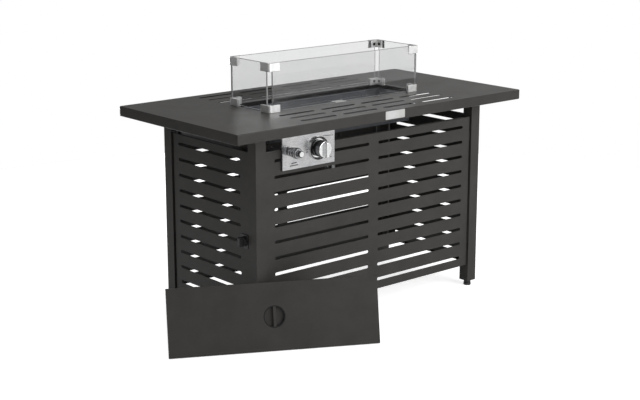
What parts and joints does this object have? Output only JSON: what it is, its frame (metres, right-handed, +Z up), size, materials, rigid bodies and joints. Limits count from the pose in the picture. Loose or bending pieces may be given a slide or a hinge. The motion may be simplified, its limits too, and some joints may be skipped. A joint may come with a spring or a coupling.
{
  "type": "fire pit table",
  "caption": "Rectangular gas fire pit table with a slatted steel base, end door, drop-in burner, glass wind guard and a loose burner lid leaning on a leg.",
  "frame": {"origin": "on the floor, under the middle of the whole set, the leaning lid included; the table's own middle is at X 0.0704, Y 0.0731", "axes": "+X along the table's length to the right of the control side, +Y from the control side to the back, +Z up"},
  "size_m": [1.2328, 0.7061, 0.761],
  "materials": {
    "powder_coat": "satin black powder coat",
    "burner_steel": "dark heat-resistant steel",
    "stainless": "brushed stainless steel",
    "chrome": "polished",
    "silver_casting": "satin silver die casting",
    "glass": "clear tempered",
    "black_plastic": "moulded, satin",
    "knob_plastic": "moulded, plated face",
    "zinc_steel": "zinc plated",
    "dark_fastener": "blackened",
    "brass": "machined",
    "aluminium_tube": "drawn",
    "ceramic": "glazed ceramic, with a steel wire",
    "lead_sheath": "silicone sheath",
    "bare_plate": "bare plate"
  },
  "bodies": {
    "table": {"post_front_left": "powder_coat", "post_front_right": "powder_coat", "post_rear_left": "powder_coat", "post_rear_right": "powder_coat", "rail_front": "powder_coat", "rail_rear": "powder_coat", "rail_left": "powder_coat", "rail_right": "powder_coat", "front_panel": "powder_coat", "rear_panel": "powder_coat", "right_panel": "powder_coat", "panel_tabs": "powder_coat", "hinge_brackets": "powder_coat", "latch_strike": "powder_coat", "tabletop": "powder_coat", "burner_ring": "burner_steel", "burner_pan": "burner_steel", "burner_tube": "stainless", "burner_saddles": "stainless", "flame_cage": "stainless", "control_plate": "stainless", "thermocouple": "stainless", "knob_bezel": "chrome", "foot_inserts": "black_plastic", "igniter_body": "black_plastic", "top_nuts": "zinc_steel", "panel_screws": "zinc_steel", "igniter_nut": "zinc_steel", "valve_body": "brass", "gas_inlet": "brass", "air_mixer": "brass", "gas_pipe": "aluminium_tube", "ignition_electrode": "ceramic", "ignition_lead": "lead_sheath", "thermocouple_lead": "lead_sheath", "name_plate": "bare_plate"},
    "door": {"door_panel": "powder_coat", "hinge_pins": "zinc_steel", "latch_base": "black_plastic"},
    "latch": {"latch_knob": "black_plastic", "latch_cam": "zinc_steel"},
    "valve": {"valve_plug": "brass"},
    "knob": {"control_knob": "knob_plastic", "valve_stem": "brass"},
    "igniter": {"igniter_button": "chrome"},
    "guard": {"glass_front": "glass", "glass_rear": "glass", "glass_left": "glass", "glass_right": "glass", "guard_brackets_low": "silver_casting", "guard_brackets_high": "silver_casting", "guard_clamps": "silver_casting", "guard_screws": "dark_fastener"},
    "lid": {"lid_shell": "powder_coat", "lid_cup": "powder_coat", "lid_grip": "powder_coat"},
    "leveller_front_left": {"foot_front_left": "black_plastic"},
    "leveller_front_right": {"foot_front_right": "black_plastic"},
    "leveller_rear_left": {"foot_rear_left": "black_plastic"},
    "leveller_rear_right": {"foot_rear_right": "black_plastic"}
  },
  "joints": [
    {"name": "door_swing", "type": "hinge", "parent": "table", "child": "door", "pos_m": [-0.3536, 0.24105, 0.307], "axis": [0, 0, -1], "range_deg": [0, 105]},
    {"name": "latch_turn", "type": "hinge", "parent": "door", "child": "latch", "pos_m": [-0.3621, -0.08645, 0.29], "axis": [-1, 0, 0], "range_deg": [0, 90]},
    {"name": "valve_turn", "type": "hinge", "parent": "table", "child": "valve", "pos_m": [-0.1476, -0.14375, 0.5325], "axis": [0, -1, 0], "range_deg": [0, 90]},
    {"name": "knob_push", "type": "slide", "parent": "valve", "child": "knob", "axis": [0, 1, 0], "range_m": [0, 0.003], "stiffness_N_per_m": 1500},
    {"name": "igniter_push", "type": "slide", "parent": "table", "child": "igniter", "axis": [0, 1, 0], "range_m": [0, 0.004], "stiffness_N_per_m": 1500},
    {"name": "guard_lift", "type": "slide", "parent": "table", "child": "guard", "axis": [0, 0, 1], "range_m": [0, 0.2]},
    {"name": "lid_away", "type": "slide", "parent": "table", "child": "lid", "axis": [-0.4726, -0.8813, 0], "range_m": [0, 0.5]},
    {"name": "foot_screw_front_left", "type": "slide", "parent": "table", "child": "leveller_front_left", "axis": [0, 0, -1], "range_m": [0, 0.01]},
    {"name": "foot_screw_front_right", "type": "slide", "parent": "table", "child": "leveller_front_right", "axis": [0, 0, -1], "range_m": [0, 0.01]},
    {"name": "foot_screw_rear_left", "type": "slide", "parent": "table", "child": "leveller_rear_left", "axis": [0, 0, -1], "range_m": [0, 0.01]},
    {"name": "foot_screw_rear_right", "type": "slide", "parent": "table", "child": "leveller_rear_right", "axis": [0, 0, -1], "range_m": [0, 0.01]}
  ]
}
